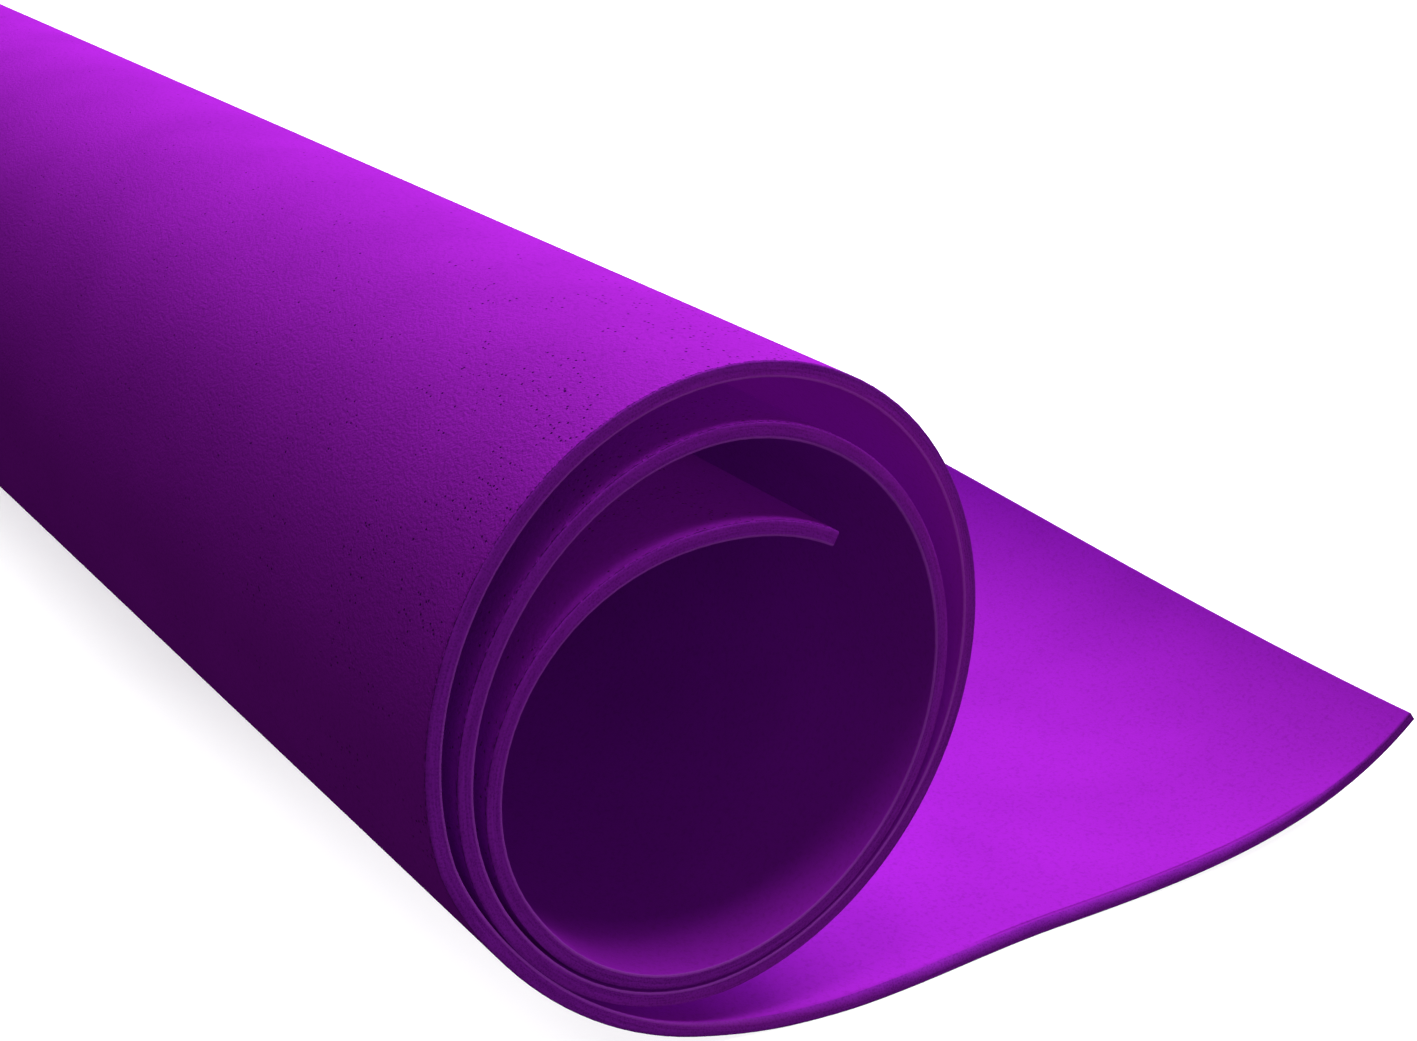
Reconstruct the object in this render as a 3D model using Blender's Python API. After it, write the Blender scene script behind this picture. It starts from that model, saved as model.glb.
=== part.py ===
"""A sheet of craft foam, part rolled up, lying with its free end out on the ground.

The sheet is one piece of stock: 700 mm long, 500 mm wide and 2 mm thick.
Two and a half loose turns are wound on the left. The rest leaves the roll low
on its left, runs out under it to the right, lies flat and lifts into a curl.

X runs along the free stretch, Y across the sheet, along the roll, and Z up.
Sizes are in metres, and angles in degrees unless a name says otherwise.

A winding angle is counted from +X round the roll's centre. It is LEAVE_ANGLE
where the sheet leaves the roll, and falls by 360 with each turn further in.
"""

from math import cos, radians, sin

import bmesh
import bpy
from mathutils import Vector

# The sheet as it is sold
SHEET_LENGTH = 0.700
SHEET_WIDTH = 0.500
SHEET_THICKNESS = 0.002

# The outside turn, measured to the middle of the sheet's thickness
ROLL_RADIUS = 0.0386
ROLL_STRETCH = 0.0012  # how far the turn stands out of round along its long axis
ROLL_LEAN = 80.0  # direction of that long axis
ROLL_SAG = 0.0004  # how far the turn hangs below its centre

# The clear gaps between one turn and the next
NEST_GAP = 0.0003  # where the turns lie in one another, at the bottom
OPEN_GAP_OUTER = 0.0048  # where the two outer turns stand furthest apart, at the top
OPEN_GAP_INNER = 0.0097  # and the two inner ones
OPEN_DIRECTION = 90.0  # where that is, seen from the centre
OPEN_FOCUS_OUTER = 1.39  # a higher figure keeps the open gap nearer to the top
OPEN_FOCUS_INNER = 2.27
STEP_IN_LAG = 80.0  # how far past the leaving point a turn starts to step in
STEP_IN_SPAN = 60.0  # and how far round it takes to lie inside the next one

# Where the outside turn leaves the roll and runs down to the ground
LEAVE_ANGLE = 200.0
LEAVE_HOLD = 0.346  # how long it holds its slope there, in roll radii
LAND_OFFSET = 0.047  # where it has come down, right of the roll's centre, in roll radii
LAND_HOLD = 0.285  # how early it is level there, in roll radii
BELLY_GAP = 0.0052  # clear height between the roll and the sheet that lies under it

# The free end
FLAT_LENGTH = 0.034
CURL_LENGTH = 0.095
CURL_SLOPE_CORNER = 35.6  # the slope of the last edge at the two corners
CURL_SLOPE_MIDDLE = 65.2  # and along the middle
CURL_GROWTH = 2.75  # a higher figure keeps the bend nearer to the edge
CORNER_SPAN = 0.166  # how far in from a corner the slope is at its full value

# How finely the bends are cut
TURN_STEP = 5.0
LEAVE_STEPS = 10
FLAT_STEPS = 2
CURL_STEPS = 14
CORNER_STEPS = 6
SHARP_ANGLE = 40.0

FOAM_COLOUR = (0.402, 0.018, 0.680, 1.0)
FOAM_ROUGHNESS = 0.62


def clear_objects():
    """Remove whatever objects the open file holds."""
    for old in list(bpy.data.objects):
        bpy.data.objects.remove(old, do_unlink=True)


def ease(share):
    """Go smoothly from 0 to 1 as share does."""
    share = min(max(share, 0.0), 1.0)
    return share * share * (3.0 - 2.0 * share)


def between(start, end, share):
    """A value the given share of the way from start to end."""
    return start + (end - start) * share


def outside_radius(angle):
    """The radius of the outside turn, a little tall and sagging at the bottom."""
    stretch = ROLL_STRETCH * cos(2.0 * radians(angle - ROLL_LEAN))
    return ROLL_RADIUS + stretch - ROLL_SAG * sin(radians(angle))


def turn_spacing(angle):
    """From the turn at a winding angle to the one outside it, middle to middle."""
    inward = min(max((OPEN_DIRECTION - angle) / 360.0 - 1.0, 0.0), 1.0)
    open_gap = between(OPEN_GAP_OUTER, OPEN_GAP_INNER, inward)
    focus = between(OPEN_FOCUS_OUTER, OPEN_FOCUS_INNER, inward)
    nearness = 0.5 + 0.5 * cos(radians(angle - OPEN_DIRECTION))
    return SHEET_THICKNESS + NEST_GAP + open_gap * nearness**focus


def turn_radius(angle):
    """The radius at a winding angle, each turn set in from the one outside it."""
    past_step = LEAVE_ANGLE - 360.0 + STEP_IN_LAG - angle
    if past_step <= 0.0:
        return outside_radius(angle)
    return turn_radius(angle + 360.0) - turn_spacing(angle) * ease(past_step / STEP_IN_SPAN)


def centre_height():
    """The height of the roll's centre above the ground."""
    underside = outside_radius(-90.0) + SHEET_THICKNESS / 2.0
    return underside + BELLY_GAP + SHEET_THICKNESS


def turn_point(angle):
    """The middle of the sheet's thickness at a winding angle."""
    radius = turn_radius(angle)
    return Vector((radius * cos(radians(angle)), centre_height() + radius * sin(radians(angle))))


def curl_line(curl_slope):
    """The curled end, from the ground out to the last edge, bending more and more."""
    step = CURL_LENGTH / CURL_STEPS
    line = [Vector((LAND_OFFSET * ROLL_RADIUS + FLAT_LENGTH, SHEET_THICKNESS / 2.0))]
    for i in range(CURL_STEPS):
        slope = radians(curl_slope * ((i + 0.5) / CURL_STEPS) ** CURL_GROWTH)
        line.append(line[-1] + step * Vector((cos(slope), sin(slope))))
    return line


def flat_line():
    """The flat stretch, from the foot of the curl back to where the sheet has come down."""
    landing = LAND_OFFSET * ROLL_RADIUS
    places = [landing + FLAT_LENGTH * (1.0 - i / FLAT_STEPS) for i in range(1, FLAT_STEPS + 1)]
    return [Vector((place, SHEET_THICKNESS / 2.0)) for place in places]


def leaving_line():
    """The bend from the ground up to where the sheet meets the roll, as one smooth curve."""
    top = turn_point(LEAVE_ANGLE)
    slope = (top - turn_point(LEAVE_ANGLE - 1.0)).normalized()
    foot = Vector((LAND_OFFSET * ROLL_RADIUS, SHEET_THICKNESS / 2.0))
    upper = top + slope * LEAVE_HOLD * ROLL_RADIUS
    lower = foot - Vector((LAND_HOLD * ROLL_RADIUS, 0.0))
    line = []
    for i in range(1, LEAVE_STEPS + 1):
        t = i / LEAVE_STEPS
        s = 1.0 - t
        line.append(s**3 * foot + 3 * s * s * t * lower + 3 * s * t * t * upper + t**3 * top)
    return line


def centre_line(curl_slope):
    """The whole sheet from its free end inward, until its length is used up."""
    line = curl_line(curl_slope)[::-1] + flat_line() + leaving_line()
    left = SHEET_LENGTH - sum((b - a).length for a, b in zip(line, line[1:]))
    angle = LEAVE_ANGLE
    while left > 0.0:
        angle -= TURN_STEP
        point = turn_point(angle)
        step = (point - line[-1]).length
        if step > left:
            point = line[-1].lerp(point, left / step)
        line.append(point)
        left -= step
    return line


def wall_outline(line):
    """The sheet's section: out along one face of the line and back along the other."""
    runs = [(b - a).normalized() for a, b in zip(line, line[1:])]
    sides = [Vector((-run.y, run.x)) for run in runs]
    left_face = []
    right_face = []
    for point, before, after in zip(line, sides[:1] + sides, sides + sides[-1:]):
        mitre = (before + after).normalized()
        reach = mitre * (SHEET_THICKNESS / 2.0 / mitre.dot(before))
        left_face.append(point + reach)
        right_face.append(point - reach)
    return left_face + right_face[::-1]


def cross_places():
    """Places across the sheet, close together near the corners, where the curl changes."""
    span = min(CORNER_SPAN, SHEET_WIDTH / 2.0)
    near = [span * i / CORNER_STEPS for i in range(CORNER_STEPS + 1)]
    far = [SHEET_WIDTH - place for place in reversed(near)]
    if far[0] - near[-1] < SHEET_THICKNESS:
        far = far[1:]
    return near + far


def curl_slope_at(place):
    """The slope of the last edge, gentler at the corners than in the middle."""
    share = ease(min(place, SHEET_WIDTH - place) / CORNER_SPAN)
    return between(CURL_SLOPE_CORNER, CURL_SLOPE_MIDDLE, share)


def sheet_mesh():
    """The sections at each place across the sheet, joined into one closed solid."""
    mesh = bmesh.new()
    rings = []
    for place in cross_places():
        outline = wall_outline(centre_line(curl_slope_at(place)))
        rings.append([mesh.verts.new((p.x, place, p.y)) for p in outline])
    for near, far in zip(rings, rings[1:]):
        for i in range(len(near)):
            mesh.faces.new((near[i - 1], near[i], far[i], far[i - 1]))
    for ring in (rings[0], rings[-1]):
        for i in range(len(ring) // 2 - 1):
            mesh.faces.new((ring[i], ring[i + 1], ring[-i - 2], ring[-i - 1]))
    bmesh.ops.recalc_face_normals(mesh, faces=mesh.faces)
    return mesh


def centre_on_footprint(mesh):
    """Move the sheet so that the middle of its footprint is at the origin."""
    xs = [vert.co.x for vert in mesh.verts]
    shift = (-(min(xs) + max(xs)) / 2.0, -SHEET_WIDTH / 2.0, 0.0)
    bmesh.ops.translate(mesh, verts=mesh.verts, vec=shift)


def violet_foam():
    """Plain closed-cell foam, violet all through."""
    material = bpy.data.materials.new("violet_craft_foam")
    material.use_nodes = True
    shader = material.node_tree.nodes["Principled BSDF"]
    shader.inputs["Base Color"].default_value = FOAM_COLOUR
    shader.inputs["Roughness"].default_value = FOAM_ROUGHNESS
    shader.inputs["Metallic"].default_value = 0.0
    return material


def foam_sheet():
    """The one piece: the whole sheet, as it lies."""
    mesh = sheet_mesh()
    centre_on_footprint(mesh)
    data = bpy.data.meshes.new("foam_sheet")
    mesh.to_mesh(data)
    mesh.free()
    data.materials.append(violet_foam())
    data.shade_smooth()
    data.set_sharp_from_angle(angle=radians(SHARP_ANGLE))
    sheet = bpy.data.objects.new("foam_sheet", data)
    bpy.context.scene.collection.objects.link(sheet)
    return sheet


def main():
    clear_objects()
    foam_sheet()


main()
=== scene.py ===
from math import cos, pi, radians, sin

import bpy
import numpy as np
from bpy.props import FloatProperty, FloatVectorProperty, PointerProperty
from mathutils import Matrix, Vector


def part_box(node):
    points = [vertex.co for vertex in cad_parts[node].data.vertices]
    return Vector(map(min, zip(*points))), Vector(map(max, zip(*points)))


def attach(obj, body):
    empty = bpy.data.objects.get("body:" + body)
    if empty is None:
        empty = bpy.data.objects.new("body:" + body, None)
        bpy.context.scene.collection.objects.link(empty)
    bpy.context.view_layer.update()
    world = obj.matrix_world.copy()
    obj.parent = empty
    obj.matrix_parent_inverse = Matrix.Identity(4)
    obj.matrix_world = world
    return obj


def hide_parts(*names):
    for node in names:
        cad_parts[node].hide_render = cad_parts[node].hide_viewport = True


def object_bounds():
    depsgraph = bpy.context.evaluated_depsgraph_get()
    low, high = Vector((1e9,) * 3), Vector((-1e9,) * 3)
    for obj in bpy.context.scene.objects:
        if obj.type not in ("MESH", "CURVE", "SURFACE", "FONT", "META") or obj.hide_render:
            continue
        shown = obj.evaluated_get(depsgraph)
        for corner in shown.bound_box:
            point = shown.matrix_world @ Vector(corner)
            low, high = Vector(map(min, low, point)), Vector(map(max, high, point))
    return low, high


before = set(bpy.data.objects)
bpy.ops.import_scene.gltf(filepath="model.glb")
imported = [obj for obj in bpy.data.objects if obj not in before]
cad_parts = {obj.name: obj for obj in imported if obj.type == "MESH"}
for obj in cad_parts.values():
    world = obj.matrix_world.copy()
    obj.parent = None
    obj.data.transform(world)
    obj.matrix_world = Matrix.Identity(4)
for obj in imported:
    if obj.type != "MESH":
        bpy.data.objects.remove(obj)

bl_info = {
    "name": "Craft Foam Sheet",
    "version": (1, 0, 0),
    "blender": (4, 5, 0),
    "location": "View3D > Sidebar > Foam Sheet",
    "description": "A part-rolled sheet of craft foam with its finish and a plain studio round it",
    "category": "Object",
}

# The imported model's box, and the box of the sheet's own solid
CAD_LOW, CAD_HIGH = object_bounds()
SHEET_LOW, SHEET_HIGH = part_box("foam_sheet")
MM = 0.001

# The photograph's frame, in pixels, and the width that a lens is counted on, in mm
PHOTO_WIDTH = 1417
SENSOR_WIDTH = 36.0

# How finely the sheet is cut, in metres
FINE_STEP = 0.25 * MM
LENGTH_STEP = 2.3 * MM
WIDTH_STEP = 8.0 * MM
STEP_GROWTH = 1.7  # how fast the cuts open out, away from an edge
LEAVING_CUTS = 240  # cuts in the bend between the ground and the roll
EDGE_RINGS = 4  # cuts in the rounding along each edge
WALL_CUTS = 4  # cuts across the thickness

# The softer rounding of the free stretch fades out towards the roll and towards the free end
ROUND_FADE_START = 30.0 * MM
ROUND_FADE = 50.0 * MM
ROUND_GROWTH_START = 4.0 * MM
ROUND_GROWTH = 60.0 * MM

# How far the sheet's shift reaches, towards the free end and towards the roll
SWAY_OUT = 36.0 * MM
SWAY_IN = 24.0 * MM

# Where the painted glow goes on each face, in place of the light that thin foam lets through: the middle and
# reach of each place, counted in turns from where the sheet meets the roll, and how much
INNER_PAINTED_GLOW = ((0.43, 0.27, 1.0), (-0.23, 0.13, 0.7))
OUTER_PAINTED_GLOW = ((1.38, 0.27, 0.75), (0.8, 0.12, 0.4), (2.1, 0.25, 0.35))

# The floor's width, and how far it lies under the sheet
FLOOR_SIZE = 6.0
FLOOR_DROP = 0.2 * MM

# The soft boxes on the sheet: azimuth and elevation in degrees, distance and width in metres, power in watts
SHEET_LAMPS = (
    ("high_right", 80.0, 62.0, 2.0, 1.1, 22.8),
    ("back", 135.0, 35.0, 2.0, 1.1, 27.5),
    ("overhead", 0.0, 80.0, 2.0, 0.5, 7.5),
    ("low_front", 0.0, 8.0, 2.0, 1.1, 4.2),
    ("low_left", -45.0, 8.0, 2.0, 1.1, 1.2),
)

# How strongly foam bends light
FOAM_IOR = 1.45

# The sheet's surfaces, in the order of their materials
INSIDE, OUTSIDE, CUT = 0, 1, 2


def linear(hex_colour):
    """A linear RGBA colour from an sRGB hex value."""
    values = [int(hex_colour[i:i + 2], 16) / 255.0 for i in (1, 3, 5)]
    levels = [v / 12.92 if v <= 0.04045 else ((v + 0.055) / 1.055) ** 2.4 for v in values]
    return (*levels, 1.0)


def size_property(name, description, default):
    """A length that the user can change."""
    return FloatProperty(name=name, description=description, default=default, unit="LENGTH", precision=5)


def turn_property(name, description, degrees):
    """An angle that the user can change."""
    return FloatProperty(name=name, description=description, default=radians(degrees), subtype="ANGLE")


def plain_property(name, description, default):
    """A bare number that the user can change."""
    return FloatProperty(name=name, description=description, default=default, precision=3)


def colour_property(name, description, hex_colour):
    """A colour that the user can change."""
    return FloatVectorProperty(
        name=name, description=description, default=linear(hex_colour),
        size=4, subtype="COLOR", min=0.0, max=1.0
    )


class SheetShape(bpy.types.PropertyGroup):
    """The sheet's cut size and the way it lies."""

    length: size_property("Length", "Cut length, along which it is rolled", 0.700)
    width: size_property("Width", "Cut width, along the roll", 0.500)
    thickness: size_property("Thickness", "Thickness of the foam", 0.002)
    roll_radius: size_property("Roll radius", "Outside turn, to the middle of the thickness", 0.0386)
    roll_stretch: size_property("Roll stretch", "How far the turn stands out of round", 0.0012)
    roll_lean: turn_property("Roll lean", "Direction of the long axis of the turn", 80.0)
    roll_sag: size_property("Roll sag", "How far the turn hangs below its centre", 0.0004)
    nest_gap: size_property("Nest gap", "Clear gap where the turns lie in one another", 0.0003)
    open_gap_outer: size_property("Outer gap", "Clear gap between the two outer turns, at the top", 0.0048)
    open_gap_inner: size_property("Inner gap", "Clear gap between the two inner turns, at the top", 0.0097)
    open_direction: turn_property("Gap direction", "Where the gaps are widest", 90.0)
    open_focus_outer: plain_property("Outer focus", "Higher keeps the outer gap nearer to the top", 1.39)
    open_focus_inner: plain_property("Inner focus", "Higher keeps the inner gap nearer to the top", 2.27)
    step_in_lag: turn_property("Step-in lag", "How far past the leaving point a turn starts to step in", 80.0)
    step_in_span: turn_property("Step-in span", "How far round it takes to lie inside the next turn", 60.0)
    leave_angle: turn_property("Leaving angle", "Where the outside turn leaves the roll", 200.0)
    leave_hold: plain_property("Leaving hold", "How long it holds its slope there, in roll radii", 0.196)
    land_offset: plain_property("Landing", "Where it has come down, in roll radii from the centre", 0.355)
    land_hold: plain_property("Landing hold", "How early it is level there, in roll radii", 0.821)
    belly_gap: size_property("Belly gap", "Clear height between the roll and the sheet under it", 0.0052)
    flat_length: size_property("Flat length", "The stretch that lies flat", 0.0221)
    curl_length: size_property("Curl length", "The stretch that lifts off the ground", 0.095)
    curl_slope_corner: turn_property("Corner slope", "Slope of the last edge at the corners", 40.3)
    curl_slope_middle: turn_property("Middle slope", "Slope of the last edge along the middle", 65.2)
    curl_growth_corner: plain_property("Corner growth", "Higher keeps the bend nearer to the edge", 3.25)
    curl_growth_middle: plain_property("Middle growth", "The same, along the middle", 2.75)
    corner_span: size_property("Corner span", "How far in from a corner the slope is full", 0.172)
    sway: size_property("Sway", "How far the sheet shifts forwards where it comes down to the floor", 0.0021)
    sway_run: size_property("Sway place", "Where it shifts most, from the free end", 0.108)
    edge_round: size_property("Edge rounding", "Rounding of the cut edges on the roll", 0.00022)
    tail_round: size_property("Tail rounding", "Rounding of the upper edges on the free stretch", 0.0012)


class SheetFinish(bpy.types.PropertyGroup):
    """Colours and pattern sizes of the foam."""

    skin: colour_property("Skin", "Colour of the moulded skin", "#B427DC")
    # Mixed in for the clouded and grained tone, the torn strip and, as painted shade, the pores
    skin_dark_and_pore_shade: colour_property("Skin shade", "Colour in the pores and the thin places of the skin", "#4A0E6A")
    cut: colour_property("Cut edge", "Colour of the cut cells", "#A52AD0")
    # Mixed in for the drag lines and, as painted shade, the hollows of the open cells
    cut_dark_and_cell_shade: colour_property("Cut shade", "Colour inside the open cells", "#6D1591")
    # Colour of the painted glow, which stands in for light let through the foam
    inside: colour_property("Light through", "Colour of the light that comes through the foam", "#BC20C4")
    # Colour of the painted highlight along the inner edge of the cut
    pale: colour_property("Pale lip", "Colour of the stretched lip along the cut", "#CE5CEE")
    # A real cell is about 0.1 mm wide: cells and grain are drawn some three times coarser, so that they show
    cell: size_property("Cell size", "Width of one foam cell", 0.00032)
    cloud: size_property("Cloud size", "Width of the soft patches in the skin", 0.018)
    grain: size_property("Grain size", "Width of the skin's fine grain", 0.0006)
    pore: size_property("Pore size", "Width of an open pore", 0.00034)
    pore_spacing: size_property("Pore spacing", "How far apart the pores stand in a patch of them", 0.0008)
    pore_patch: size_property("Pore patch", "Width of a patch of pores", 0.010)
    pore_strip: size_property("Pore strip", "How far in from the sides most of the pores are", 0.060)
    torn: size_property("Torn strip", "How far in from the cut the skin is torn", 0.0007)
    # Width of the painted highlight along the inner edge of the cut
    lip: size_property("Lip width", "Width of the pale lip along the inner edge of the cut", 0.00024)
    drag_length: size_property("Drag line length", "Length of a line that the blade left", 0.009)
    drag_width: size_property("Drag line width", "Width of a line that the blade left", 0.00045)


class Studio(bpy.types.PropertyGroup):
    """The floor, the lights and the lens."""

    floor: colour_property("Floor", "Colour of the floor", "#F4F4F4")
    focal_pixels: plain_property("Focal length", "Focal length in pixels of the photograph's frame", 2300.0)
    camera_x: size_property("Camera X", "Place of the camera from the roll's centre", -0.14026)
    camera_y: size_property("Camera Y", "Place of the camera from the near edge", -0.20029)
    camera_z: size_property("Camera height", "Height of the camera above the floor", 0.16136)
    heading: turn_property("Heading", "The way the camera faces, turned from +Y", -34.497)
    pitch: turn_property("Pitch", "How far the camera looks down", 20.471)
    roll: turn_property("Roll", "How far the camera leans", 2.363)


def ease(share):
    """Go smoothly from 0 to 1 as share does."""
    share = np.clip(share, 0.0, 1.0)
    return share * share * (3.0 - 2.0 * share)


def between(start, end, share):
    """A value the given share of the way from start to end."""
    return start + (end - start) * share


# The sheet's line, seen from the near edge: x to the right of the roll's centre, z up


def outside_radius(shape, angle):
    """The radius of the outside turn, a little tall and sagging at the bottom."""
    stretch = shape.roll_stretch * np.cos(2.0 * (angle - shape.roll_lean))
    return shape.roll_radius + stretch - shape.roll_sag * np.sin(angle)


def turn_spacing(shape, angle):
    """From the turn at a winding angle to the one outside it, middle to middle."""
    inward = np.clip((shape.open_direction - angle) / (2.0 * pi) - 1.0, 0.0, 1.0)
    open_gap = between(shape.open_gap_outer, shape.open_gap_inner, inward)
    focus = between(shape.open_focus_outer, shape.open_focus_inner, inward)
    nearness = 0.5 + 0.5 * np.cos(angle - shape.open_direction)
    return shape.thickness + shape.nest_gap + open_gap * nearness**focus


def turn_radius(shape, angle):
    """The radius at a winding angle, each turn set in from the one outside it."""
    past_step = shape.leave_angle - 2.0 * pi + shape.step_in_lag - angle
    if past_step <= 0.0:
        return outside_radius(shape, angle)
    set_in = turn_spacing(shape, angle) * ease(past_step / shape.step_in_span)
    return turn_radius(shape, angle + 2.0 * pi) - set_in


def centre_height(shape):
    """The height of the roll's centre above the ground."""
    underside = outside_radius(shape, -pi / 2.0) + shape.thickness / 2.0
    return underside + shape.belly_gap + shape.thickness


def turn_point(shape, angle):
    """The middle of the sheet's thickness at a winding angle."""
    radius = turn_radius(shape, angle)
    return np.array((radius * cos(angle), centre_height(shape) + radius * sin(angle)))


def curl_line(shape, slope, growth):
    """The curled end, from the ground out to the last edge, bending more and more."""
    count = round(shape.curl_length / FINE_STEP)
    share = (np.arange(count) + 0.5) / count
    bend = slope * share**growth
    steps = np.stack((np.cos(bend), np.sin(bend)), 1) * shape.curl_length / count
    foot = (shape.land_offset * shape.roll_radius + shape.flat_length, shape.thickness / 2.0)
    return np.vstack((foot, foot + np.cumsum(steps, 0)))


def leaving_line(shape):
    """The bend from the ground up to where the sheet meets the roll, as one smooth curve."""
    top = turn_point(shape, shape.leave_angle)
    slope = top - turn_point(shape, shape.leave_angle - radians(1.0))
    slope /= np.linalg.norm(slope)
    foot = np.array((shape.land_offset * shape.roll_radius, shape.thickness / 2.0))
    upper = top + slope * shape.leave_hold * shape.roll_radius
    lower = foot - (shape.land_hold * shape.roll_radius, 0.0)
    t = np.linspace(0.0, 1.0, LEAVING_CUTS)[:, None]
    s = 1.0 - t
    return s**3 * foot + 3.0 * s * s * t * lower + 3.0 * s * t * t * upper + t**3 * top


def wound_line(shape, length):
    """The turns, from where the sheet meets the roll inward, over the given length."""
    step = FINE_STEP / shape.roll_radius
    angle = shape.leave_angle
    line = [turn_point(shape, angle)]
    while length > 0.0:
        angle -= step
        line.append(turn_point(shape, angle))
        length -= np.linalg.norm(line[-1] - line[-2])
    return np.array(line)


def run_of(line):
    """The length from the line's start to each of its points."""
    return np.concatenate(((0.0,), np.cumsum(np.linalg.norm(np.diff(line, axis=0), axis=1))))


def rest_line(shape):
    """All of the sheet but its curl, from the foot of the curl inward."""
    foot = np.array((shape.land_offset * shape.roll_radius, shape.thickness / 2.0))
    start = foot + (shape.flat_length, 0.0)
    leaving = leaving_line(shape)
    left = shape.length - shape.curl_length - shape.flat_length - run_of(leaving)[-1]
    return np.vstack((start, leaving, wound_line(shape, left)[1:]))


def curl_at(shape, place):
    """The slope of the last edge, gentler at the corners than in the middle, and how the bend grows."""
    share = ease(min(place, shape.width - place) / shape.corner_span)
    slope = between(shape.curl_slope_corner, shape.curl_slope_middle, share)
    return slope, between(shape.curl_growth_corner, shape.curl_growth_middle, share)


def sampled(line, places):
    """Points on a line, and its direction there, at lengths from its start."""
    run = run_of(line)
    points = np.stack([np.interp(places, run, line[:, k]) for k in (0, 1)], 1)
    reach = 2.0 * FINE_STEP
    ahead = np.stack([np.interp(places + reach, run, line[:, k]) for k in (0, 1)], 1)
    behind = np.stack([np.interp(places - reach, run, line[:, k]) for k in (0, 1)], 1)
    heading = ahead - behind
    return points, heading / np.linalg.norm(heading, axis=1)[:, None]


# The sheet's mesh: a grid of places along and across it, with rounded edges


def edge_places(total, step, rounding):
    """Places from 0 to total: close together in the rounding at both ends, then opening out to step."""
    turn = np.linspace(0.0, pi / 2.0, EDGE_RINGS + 1)
    places = list(rounding * (1.0 - np.cos(turn)))
    gap = rounding
    while places[-1] < total / 2.0:
        gap = min(gap * STEP_GROWTH, step)
        places.append(places[-1] + gap)
    near = np.array(places) * (total / 2.0) / places[-1]
    near[:EDGE_RINGS + 1] = places[:EDGE_RINGS + 1]
    return np.concatenate((near, total - near[-2::-1]))


def rounding_drop(distance, rounding):
    """How far a rounded edge lies below the face, at a distance in from the cut."""
    inside = np.clip(1.0 - distance / rounding, 0.0, 1.0)
    return rounding * (1.0 - np.sqrt(1.0 - inside**2))


def tail_share(shape, run):
    """How much of the free stretch's rounding an edge has, at lengths from the free end."""
    free = shape.curl_length + shape.flat_length
    fade = ease((free + ROUND_FADE_START - run) / ROUND_FADE)
    return fade * ease((run + ROUND_GROWTH_START) / ROUND_GROWTH)


def sway_at(shape, run):
    """How far the sheet has shifted forwards, at lengths from the free end."""
    reach = np.where(run < shape.sway_run, SWAY_OUT, SWAY_IN)
    return shape.sway * ease(1.0 - np.abs(run - shape.sway_run) / reach)


def sheet_grid(shape):
    """Two faces of points, upper or inner first, with the length and place of each."""
    runs = edge_places(shape.length, LENGTH_STEP, shape.edge_round)
    places = edge_places(shape.width, WIDTH_STEP, shape.edge_round)
    rest = rest_line(shape)
    faces = np.zeros((2, len(runs), len(places), 3))
    upper_round = between(shape.edge_round, shape.tail_round, tail_share(shape, runs))
    sway = sway_at(shape, runs)
    for j, place in enumerate(places):
        curl = curl_line(shape, *curl_at(shape, place))[::-1]
        points, heading = sampled(np.vstack((curl, rest[1:])), runs)
        normal = np.stack((heading[:, 1], -heading[:, 0]), 1)
        from_side = min(place, shape.width - place)
        from_end = np.minimum(runs, shape.length - runs)
        for side, rounding in ((0, upper_round), (1, np.full(len(runs), shape.edge_round))):
            stretched = from_side * rounding / shape.edge_round
            across = np.where(from_side < shape.edge_round, stretched, np.maximum(from_side, rounding))
            drop = np.maximum(rounding_drop(across, rounding), rounding_drop(from_end, shape.edge_round))
            spot_y = np.where(place < shape.width / 2.0, across, shape.width - across) - sway
            reach = (shape.thickness / 2.0 - drop) * (1.0 if side == 0 else -1.0)
            spot = points + normal * reach[:, None]
            faces[side, :, j] = np.stack((spot[:, 0], spot_y, spot[:, 1]), 1)
    return faces, runs, places


def painted_glow_share(shape, run):
    """How strong the painted glow is on the inner and the outer face, at lengths from the free end, in place
    of light let through the foam.
    """
    wound = shape.length - shape.curl_length - shape.flat_length - run_of(leaving_line(shape))[-1]
    turned = (run - shape.length + wound) / (2.0 * pi * shape.roll_radius)
    return [
        sum(share * ease(1.0 - np.abs(turned - middle) / reach) for middle, reach, share in places)
        for places in (INNER_PAINTED_GLOW, OUTER_PAINTED_GLOW)
    ]


def rim_loop(rows, columns):
    """The grid's border, as (row, column), once round."""
    near = [(i, 0) for i in range(rows - 1)]
    end = [(rows - 1, j) for j in range(columns - 1)]
    far = [(i, columns - 1) for i in range(rows - 1, 0, -1)]
    start = [(0, j) for j in range(columns - 1, 0, -1)]
    return near + end + far + start


def rim_place(shape, runs, places, i, j):
    """A border point's place along the cut: its run, or more on the inner end, or under 0 on the free one."""
    if i == 0 and j > 0:
        return -places[j]
    if i == len(runs) - 1 and j < len(places) - 1:
        return shape.length + places[j]
    return runs[i]


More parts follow.
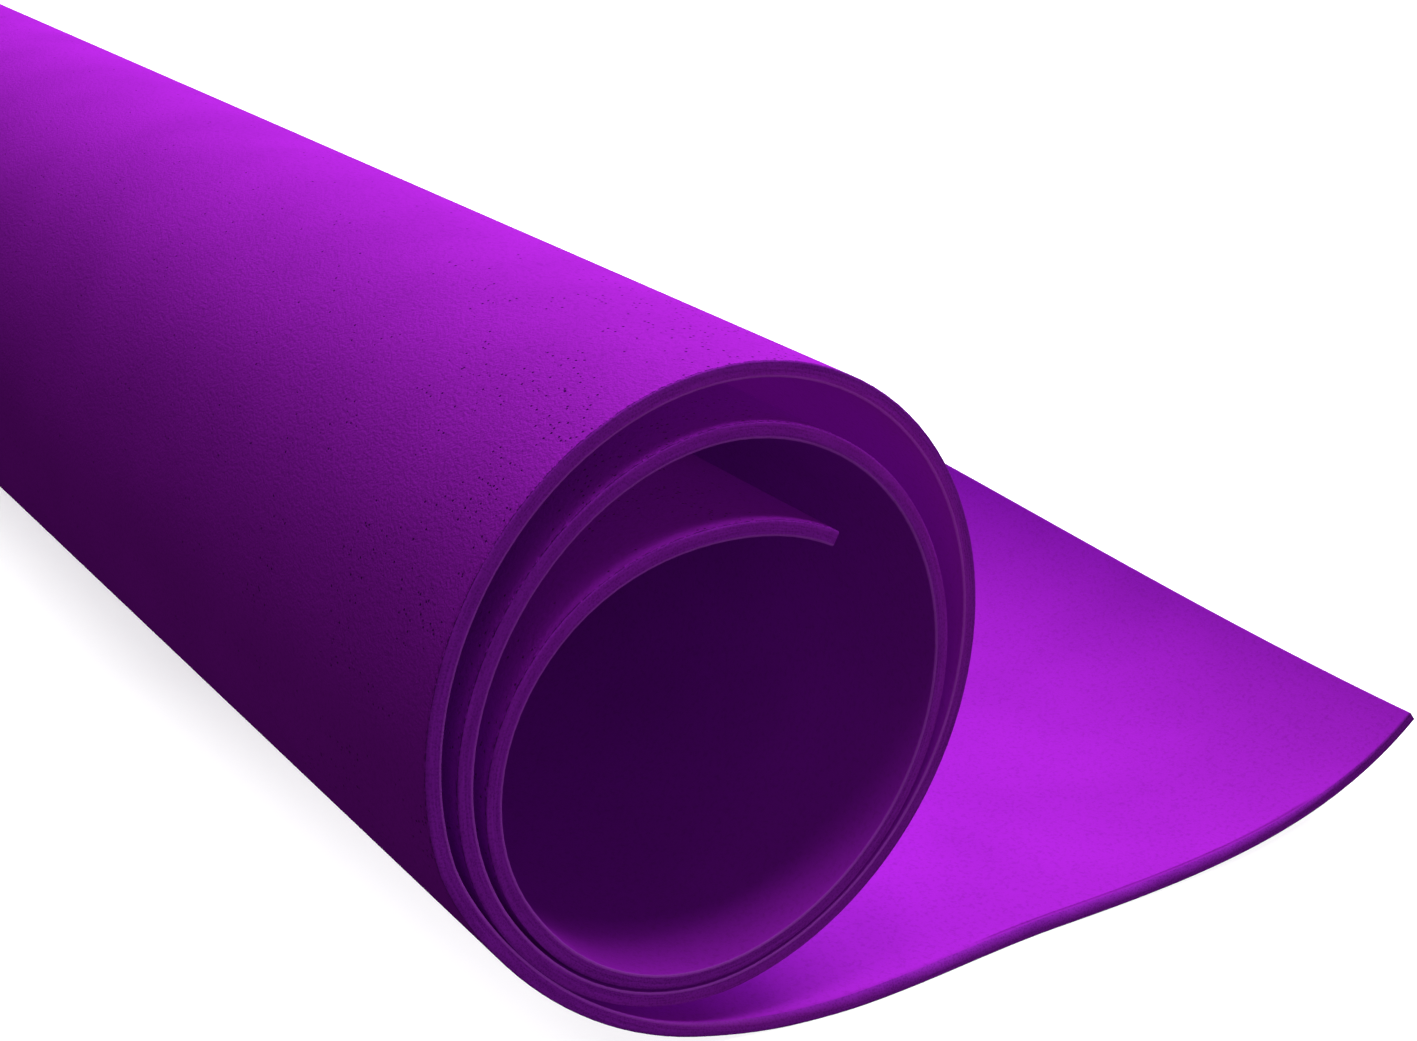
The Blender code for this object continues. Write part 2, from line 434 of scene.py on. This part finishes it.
def sheet_mesh_data(shape):
    """Points, faces, each face's surface, each corner's place along the cut, and each point's painted glow.
    """
    grid, runs, places = sheet_grid(shape)
    rows, columns = len(runs), len(places)
    points = grid.reshape(-1, 3)
    inset = np.minimum(places, shape.width - places)

    def at(side, i, j):
        return (side * rows + i) * columns + j

    faces = []
    surface = []
    along = []
    for i in range(rows - 1):
        for j in range(columns - 1):
            edge = min(i, rows - 2 - i, j, columns - 2 - j) < EDGE_RINGS - 1
            faces.append((at(0, i, j), at(0, i + 1, j), at(0, i + 1, j + 1), at(0, i, j + 1)))
            faces.append((at(1, i, j), at(1, i, j + 1), at(1, i + 1, j + 1), at(1, i + 1, j)))
            surface += [CUT if edge else INSIDE, CUT if edge else OUTSIDE]
            near, far = inset[j], inset[j + 1]
            along += [(runs[i], near), (runs[i + 1], near), (runs[i + 1], far), (runs[i], far)]
            near, far = -shape.thickness - inset[j], -shape.thickness - inset[j + 1]
            along += [(runs[i], near), (runs[i], far), (runs[i + 1], far), (runs[i + 1], near)]
    # Strength of the painted glow at each point
    through = [np.repeat(share, columns) for share in painted_glow_share(shape, runs)]
    light = np.concatenate(through)
    rim = rim_loop(rows, columns)
    rim_run = [rim_place(shape, runs, places, i, j) for i, j in rim + rim[:1]]
    rings = [[at(0, i, j) for i, j in rim]]
    extra = []
    for k in range(1, WALL_CUTS):
        first = len(points) + len(extra)
        rings.append(list(range(first, first + len(rim))))
        extra += [between(points[at(0, i, j)], points[at(1, i, j)], k / WALL_CUTS) for i, j in rim]
        through.append([between(light[at(0, i, j)], light[at(1, i, j)], k / WALL_CUTS) for i, j in rim])
    rings.append([at(1, i, j) for i, j in rim])
    depth = shape.thickness / WALL_CUTS
    for k, (upper, lower) in enumerate(zip(rings, rings[1:])):
        for a in range(len(rim)):
            b = (a + 1) % len(rim)
            faces.append((upper[a], lower[a], lower[b], upper[b]))
            surface.append(CUT)
            here, ahead = rim_run[a], rim_run[a + 1]
            above, below = -k * depth, -(k + 1) * depth
            along += [(here, above), (here, below), (ahead, below), (ahead, above)]
    return np.vstack((points, extra)), faces, surface, along, np.concatenate(through)


def placed(shape, points):
    """Points moved into the frame, over the sheet's own solid."""
    middle = (points[:, 0].min() + points[:, 0].max()) / 2.0
    shift = ((SHEET_LOW.x + SHEET_HIGH.x) / 2.0 - middle, SHEET_LOW.y, 0.0)
    return points + shift


# Materials


def node(tree, kind, settings=None, **links):
    """Add a node with its settings, and link its inputs: an input's name, or a number after in_."""
    made = tree.nodes.new(kind)
    for name, value in (settings or {}).items():
        if isinstance(name, str) and hasattr(made, name):
            setattr(made, name, value)
        else:
            made.inputs[name].default_value = value
    for name, source in links.items():
        key = int(name[3:]) if name.startswith("in_") else name.replace("_", " ")
        tree.links.new(source, made.inputs[key])
    return made


def new_material(name):
    """An empty node material and its Principled shader."""
    material = bpy.data.materials.new(name)
    material.use_nodes = True
    return material, material.node_tree, material.node_tree.nodes["Principled BSDF"]


def paint_glow(tree, shader, colour):
    """A painted glow in place of the light that thin foam lets through: faint all over, most at the top of
    the roll, some from the floor under it.
    """
    place = node(tree, "ShaderNodeAttribute", {"attribute_name": "painted_glow_share"})
    strength = node(
        tree, "ShaderNodeMapRange", {"To Min": 0.014, "To Max": 0.09}, Value=place.outputs["Fac"]
    )
    tree.links.new(strength.outputs["Result"], shader.inputs["Emission Strength"])
    shader.inputs["Emission Color"].default_value = colour


def open_pores(tree, finish, where, near_side):
    """How open the skin is: little round pits, each in its own cell, in loose patches near the sides; the
    pits get relief and painted shade.
    """
    pores = node(
        tree, "ShaderNodeTexVoronoi",
        {"feature": "F1", "Scale": 1.0 / finish.pore_spacing, "Randomness": 1.0}, Vector=where
    )
    pore_edge = finish.pore / finish.pore_spacing / 2.0
    pit = node(
        tree, "ShaderNodeMapRange",
        {
            "From Min": 0.5 * pore_edge, "From Max": 1.2 * pore_edge,
            "To Min": 1.0, "To Max": 0.0, "interpolation_type": "SMOOTHSTEP",
        },
        Value=pores.outputs["Distance"]
    )
    lot = node(tree, "ShaderNodeSeparateColor", Color=pores.outputs["Color"])
    patch = node(
        tree, "ShaderNodeTexNoise",
        {"Scale": 1.0 / finish.pore_patch, "Detail": 0.0}, Vector=where
    )
    crowd = node(
        tree, "ShaderNodeMapRange",
        {"From Min": 0.42, "From Max": 0.62, "To Min": 0.02, "To Max": 0.75}, Value=patch.outputs["Fac"]
    )
    odds = node(
        tree, "ShaderNodeMath", {"operation": "MULTIPLY"},
        in_0=crowd.outputs["Result"], in_1=near_side.outputs["Result"]
    )
    open_here = node(
        tree, "ShaderNodeMath", {"operation": "LESS_THAN"},
        in_0=lot.outputs["Red"], in_1=odds.outputs["Value"]
    )
    return node(
        tree, "ShaderNodeMath", {"operation": "MULTIPLY"},
        in_0=pit.outputs["Result"], in_1=open_here.outputs["Value"]
    ).outputs["Value"]


def pores_and_torn_strip(tree, finish, shape, where, shade, grain, cells):
    """The outside's pores, and the torn strip along the cut: the colour mix, with painted shade in the pores,
    and the relief.
    """
    spot = node(tree, "ShaderNodeSeparateXYZ", Vector=where)
    outward = node(tree, "ShaderNodeMath", {"operation": "ABSOLUTE"}, in_0=spot.outputs["Y"])
    side = shape.width / 2.0
    near_side = node(
        tree, "ShaderNodeMapRange",
        {"From Min": side - finish.pore_strip, "From Max": side, "To Min": 0.12, "To Max": 1.0},
        Value=outward.outputs["Value"]
    )
    hole = open_pores(tree, finish, where, near_side)
    # Painted shade in the pores, on top of the clouded and grained tone
    pitted = node(tree, "ShaderNodeMath", {"operation": "MAXIMUM"}, in_0=shade, in_1=hole)
    near_cut = node(
        tree, "ShaderNodeMapRange",
        {"From Min": side - finish.torn, "From Max": side}, Value=outward.outputs["Value"]
    )
    ragged = node(
        tree, "ShaderNodeMath", {"operation": "MULTIPLY"}, in_0=near_cut.outputs["Result"], in_1=grain
    )
    speck = node(
        tree, "ShaderNodeMapRange",
        {
            "From Min": 0.27, "From Max": 0.36,
            "To Min": 0.0, "To Max": 0.85, "interpolation_type": "SMOOTHSTEP",
        },
        Value=ragged.outputs["Value"]
    )
    tone_wear_and_pore_shade = node(
        tree, "ShaderNodeMath", {"operation": "MAXIMUM"},
        in_0=pitted.outputs["Value"], in_1=speck.outputs["Result"]
    )
    torn = node(
        tree, "ShaderNodeMath", {"operation": "MULTIPLY_ADD", 1: 3.0, 2: 1.0},
        in_0=near_cut.outputs["Result"]
    )
    rough = node(tree, "ShaderNodeMath", {"operation": "MULTIPLY"}, in_0=grain, in_1=torn.outputs["Value"])
    relief = node(
        tree, "ShaderNodeMath", {"operation": "MULTIPLY_ADD", 1: -0.35},
        in_0=cells, in_2=rough.outputs["Value"]
    )
    sunk = node(
        tree, "ShaderNodeMath", {"operation": "MULTIPLY_ADD", 1: -1.5},
        in_0=hole, in_2=relief.outputs["Value"]
    )
    return tone_wear_and_pore_shade.outputs["Value"], sunk.outputs["Value"]


def moulded_eva_skin(finish, shape, name, porous):
    """Cross-linked EVA foam in its moulded skin: matt, faintly clouded, finely grained, porous outside with
    painted shade in the pores, and with a painted glow.
    """
    material, tree, shader = new_material(name)
    where = node(tree, "ShaderNodeTexCoord").outputs["Object"]
    cloud = node(
        tree, "ShaderNodeTexNoise",
        {"Scale": 1.0 / finish.cloud, "Detail": 1.0, "Roughness": 0.5}, Vector=where
    )
    cells = node(
        tree, "ShaderNodeTexVoronoi",
        {"feature": "F1", "Scale": 1.0 / finish.cell, "Randomness": 1.0}, Vector=where
    ).outputs["Distance"]
    grain = node(
        tree, "ShaderNodeTexNoise",
        {"Scale": 1.0 / finish.grain, "Detail": 2.0, "Roughness": 0.65}, Vector=where
    ).outputs["Fac"]
    mottle = node(
        tree, "ShaderNodeMapRange",
        {"From Min": 0.35, "From Max": 0.65, "To Min": 0.0, "To Max": 0.08}, Value=cloud.outputs["Fac"]
    )
    fleck = node(
        tree, "ShaderNodeMapRange",
        {"From Min": 0.5, "From Max": 0.72, "To Min": 0.0, "To Max": 0.2}, Value=grain
    )
    shade = node(
        tree, "ShaderNodeMath", {"operation": "ADD", "use_clamp": True},
        in_0=mottle.outputs["Result"], in_1=fleck.outputs["Result"]
    ).outputs["Value"]
    if porous:
        shade, relief = pores_and_torn_strip(tree, finish, shape, where, shade, grain, cells)
    else:
        relief = node(
            tree, "ShaderNodeMath", {"operation": "MULTIPLY_ADD", 1: -0.35}, in_0=cells, in_2=grain
        ).outputs["Value"]
    colour = node(
        tree, "ShaderNodeMix", {"data_type": "RGBA", 6: finish.skin, 7: finish.skin_dark_and_pore_shade}, in_0=shade
    )
    tree.links.new(colour.outputs[2], shader.inputs["Base Color"])
    bump = node(
        tree, "ShaderNodeBump", {"Strength": 0.8 if porous else 0.25, "Distance": 0.14 * MM}, Height=relief
    )
    tree.links.new(bump.outputs["Normal"], shader.inputs["Normal"])
    shader.inputs["Roughness"].default_value = 0.7
    shader.inputs["IOR"].default_value = FOAM_IOR
    shader.inputs["Specular IOR Level"].default_value = 0.0
    paint_glow(tree, shader, finish.inside)
    shader.inputs["Sheen Weight"].default_value = 0.03
    shader.inputs["Sheen Roughness"].default_value = 0.5
    shader.inputs["Sheen Tint"].default_value = finish.skin
    return material


def cut_eva_edge(finish, shape):
    """Cross-linked EVA foam cut with a blade: matt, its cells sliced open with painted shade in them, with
    faint drag lines along it, a painted highlight and a painted glow.
    """
    material, tree, shader = new_material("cut_eva_edge")
    free = shape.curl_length + shape.flat_length
    where = node(tree, "ShaderNodeTexCoord").outputs["Object"]
    along = node(tree, "ShaderNodeUVMap", {"uv_map": "along_the_cut"}).outputs["UV"]
    cells = node(
        tree, "ShaderNodeTexVoronoi",
        {"feature": "F1", "Scale": 1.0 / finish.cell, "Randomness": 1.0}, Vector=where
    )
    # Painted shade in the hollow of each open cell, which the bump also sinks
    hollow = node(
        tree, "ShaderNodeMapRange",
        {
            "From Min": 0.15, "From Max": 0.65,
            "To Min": 1.0, "To Max": 0.0, "interpolation_type": "SMOOTHSTEP",
        },
        Value=cells.outputs["Distance"]
    )
    stretched = node(
        tree, "ShaderNodeMapping", {"Scale": (1.0 / finish.drag_length, 1.0 / finish.drag_width, 1.0)},
        Vector=along
    )
    drag = node(
        tree, "ShaderNodeTexNoise", {"Scale": 1.0, "Detail": 2.0, "Roughness": 0.5},
        Vector=stretched.outputs["Vector"]
    )
    line = node(
        tree, "ShaderNodeMapRange",
        {"From Min": 0.35, "From Max": 0.65, "To Min": 0.0, "To Max": 0.4}, Value=drag.outputs["Fac"]
    )
    sliced = node(
        tree, "ShaderNodeMath", {"operation": "MULTIPLY_ADD", 1: 0.35},
        in_0=hollow.outputs["Result"], in_2=line.outputs["Result"]
    )
    colour = node(
        tree, "ShaderNodeMix", {"data_type": "RGBA", 6: finish.cut, 7: finish.cut_dark_and_cell_shade},
        in_0=sliced.outputs["Value"]
    )
    # A painted highlight: a thin pale line along the inner edge of the cut, on the roll only, where that edge
    # catches the light
    spot = node(tree, "ShaderNodeSeparateXYZ", Vector=along)
    from_inner_edge = node(tree, "ShaderNodeMath", {"operation": "ABSOLUTE"}, in_0=spot.outputs["Y"])
    highlight_fade = node(
        tree, "ShaderNodeMapRange",
        {
            "From Min": 0.3 * finish.lip, "From Max": finish.lip,
            "To Min": 0.5, "To Max": 0.0, "interpolation_type": "SMOOTHSTEP",
        },
        Value=from_inner_edge.outputs["Value"]
    )
    on_the_roll = node(
        tree, "ShaderNodeMapRange",
        {"From Min": free, "From Max": 1.3 * free}, Value=spot.outputs["X"]
    )
    # Where the painted highlight lies
    lip = node(
        tree, "ShaderNodeMath", {"operation": "MULTIPLY"},
        in_0=highlight_fade.outputs["Result"], in_1=on_the_roll.outputs["Result"]
    )
    face = node(
        tree, "ShaderNodeMix", {"data_type": "RGBA", 7: finish.pale},
        in_0=lip.outputs["Value"], in_6=colour.outputs[2]
    )
    tree.links.new(face.outputs[2], shader.inputs["Base Color"])
    bump = node(
        tree, "ShaderNodeBump", {"Strength": 0.5, "Distance": 0.1 * MM, "invert": True},
        Height=sliced.outputs["Value"]
    )
    tree.links.new(bump.outputs["Normal"], shader.inputs["Normal"])
    shader.inputs["Roughness"].default_value = 0.85
    shader.inputs["IOR"].default_value = FOAM_IOR
    shader.inputs["Specular IOR Level"].default_value = 0.0
    paint_glow(tree, shader, finish.inside)
    return material


def matt_floor_paint(studio):
    """Matt paint on a board: even and pale."""
    material, _, shader = new_material("matt_floor_paint")
    shader.inputs["Base Color"].default_value = studio.floor
    shader.inputs["Roughness"].default_value = 0.9
    shader.inputs["Specular IOR Level"].default_value = 0.1
    return material


# Operators


class FOAM_OT_sheet(bpy.types.Operator):
    """Model the sheet as it lies, with rounded edges, and give it its finish"""

    bl_idname = "foam.sheet"
    bl_label = "Foam sheet"

    def execute(self, context):
        shape = context.scene.foam_shape
        finish = context.scene.foam_finish
        points, faces, surface, along, through = sheet_mesh_data(shape)
        data = bpy.data.meshes.new("rolled_foam")
        data.from_pydata(placed(shape, points).tolist(), [], faces)
        data.materials.append(moulded_eva_skin(finish, shape, "moulded_eva_inside", False))
        data.materials.append(moulded_eva_skin(finish, shape, "moulded_eva_outside", True))
        data.materials.append(cut_eva_edge(finish, shape))
        data.polygons.foreach_set("material_index", np.array(surface, dtype=np.int32))
        layer = data.uv_layers.new(name="along_the_cut")
        layer.uv.foreach_set("vector", np.array(along, dtype=np.float32).ravel())
        # The painted glow's strength at each point
        light = data.attributes.new("painted_glow_share", "FLOAT", "POINT")
        light.data.foreach_set("value", np.array(through, dtype=np.float32))
        sheet = bpy.data.objects.new("rolled_foam", data)
        context.scene.collection.objects.link(sheet)
        bpy.ops.object.select_all(action="DESELECT")
        context.view_layer.objects.active = sheet
        sheet.select_set(True)
        bpy.ops.object.mode_set(mode="EDIT")
        bpy.ops.mesh.select_all(action="SELECT")
        bpy.ops.mesh.normals_make_consistent(inside=False)
        bpy.ops.object.mode_set(mode="OBJECT")
        bpy.ops.object.shade_smooth()
        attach(sheet, "root")
        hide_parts("foam_sheet")
        return {"FINISHED"}


def lamp(name, azimuth, elevation, distance, width, power, lit, blocked=True):
    """A square soft box on one object: azimuth 0 is in front of it, and 90 on its right."""
    middle = (CAD_LOW + CAD_HIGH) / 2.0
    a, e = radians(azimuth), radians(elevation)
    way = Vector((sin(a) * cos(e), -cos(a) * cos(e), sin(e)))
    data = bpy.data.lights.new(name, "AREA")
    data.size = width
    data.energy = power
    made = bpy.data.objects.new(name, data)
    made.location = middle + way * distance
    made.rotation_euler = way.to_track_quat("Z", "Y").to_euler()
    bpy.context.scene.collection.objects.link(made)
    falls_on = bpy.data.collections.new(name + "_falls_on")
    falls_on.objects.link(lit)
    made.light_linking.receiver_collection = falls_on
    if not blocked:
        made.light_linking.blocker_collection = falls_on


def pale_surroundings():
    """A white room beyond the floor's edge, which adds only a little light of its own."""
    world = bpy.data.worlds.new("studio")
    world.use_nodes = True
    tree = world.node_tree
    path = node(tree, "ShaderNodeLightPath")
    strength = node(
        tree, "ShaderNodeMapRange", {"To Min": 0.056, "To Max": 1.0}, Value=path.outputs["Is Camera Ray"]
    )
    white = tree.nodes["Background"]
    white.inputs["Color"].default_value = linear("#FFFFFF")
    tree.links.new(strength.outputs["Result"], white.inputs["Strength"])
    return world


class FOAM_OT_stage(bpy.types.Operator):
    """Set up the floor, the soft lights and the camera"""

    bl_idname = "foam.stage"
    bl_label = "Stage"

    def execute(self, context):
        studio = context.scene.foam_studio
        shape = context.scene.foam_shape
        bpy.ops.object.select_all(action="DESELECT")
        bpy.ops.mesh.primitive_plane_add(size=FLOOR_SIZE, location=(0.0, 0.0, -FLOOR_DROP))
        floor = context.active_object
        floor.name = "floor"
        floor.data.materials.append(matt_floor_paint(studio))
        floor.visible_diffuse = False

        sheet = bpy.data.objects["rolled_foam"]
        for soft_box in SHEET_LAMPS:
            lamp(*soft_box, sheet)
        # Most of the floor's light comes past the sheet, so its shadow stays faint
        lamp("floor_wash", 0.0, 90.0, 3.0, 6.0, 385.0, floor, blocked=False)
        lamp("floor_shade", 0.0, 90.0, 3.0, 6.0, 40.0, floor)

        context.scene.world = pale_surroundings()
        context.scene.view_settings.view_transform = "Standard"

        data = bpy.data.cameras.new("camera")
        camera = bpy.data.objects.new("camera", data)
        context.scene.collection.objects.link(camera)
        data.sensor_width = SENSOR_WIDTH
        data.lens = SENSOR_WIDTH * studio.focal_pixels / PHOTO_WIDTH
        data.clip_start = 0.01
        data.clip_end = 50.0
        roll_x = SHEET_LOW.x + outside_radius(shape, pi) + shape.thickness / 2.0
        place = Matrix.Translation(
            (roll_x + studio.camera_x, SHEET_LOW.y + studio.camera_y, studio.camera_z)
        )
        look = Matrix.Rotation(studio.heading, 4, "Z") @ Matrix.Rotation(pi / 2.0 - studio.pitch, 4, "X")
        camera.matrix_world = place @ look @ Matrix.Rotation(studio.roll, 4, "Z")
        context.scene.camera = camera
        return {"FINISHED"}


class FOAM_PT_panel(bpy.types.Panel):
    """The pieces and their settings in the sidebar"""

    bl_idname = "FOAM_PT_panel"
    bl_label = "Foam Sheet"
    bl_space_type = "VIEW_3D"
    bl_region_type = "UI"
    bl_category = "Foam Sheet"

    def draw(self, context):
        scene = context.scene
        for group, operator in (
            (scene.foam_shape, FOAM_OT_sheet),
            (scene.foam_finish, None),
            (scene.foam_studio, FOAM_OT_stage),
        ):
            box = self.layout.box()
            for name in group.__annotations__:
                box.prop(group, name)
            if operator:
                box.operator(operator.bl_idname)


CLASSES = (SheetShape, SheetFinish, Studio, FOAM_OT_sheet, FOAM_OT_stage, FOAM_PT_panel)


def register():
    for cls in CLASSES:
        bpy.utils.register_class(cls)
    bpy.types.Scene.foam_shape = PointerProperty(type=SheetShape)
    bpy.types.Scene.foam_finish = PointerProperty(type=SheetFinish)
    bpy.types.Scene.foam_studio = PointerProperty(type=Studio)


def unregister():
    del bpy.types.Scene.foam_studio
    del bpy.types.Scene.foam_finish
    del bpy.types.Scene.foam_shape
    for cls in reversed(CLASSES):
        bpy.utils.unregister_class(cls)


def main():
    register()
    bpy.ops.foam.sheet()
    bpy.ops.foam.stage()


if __name__ == "__main__":
    main()
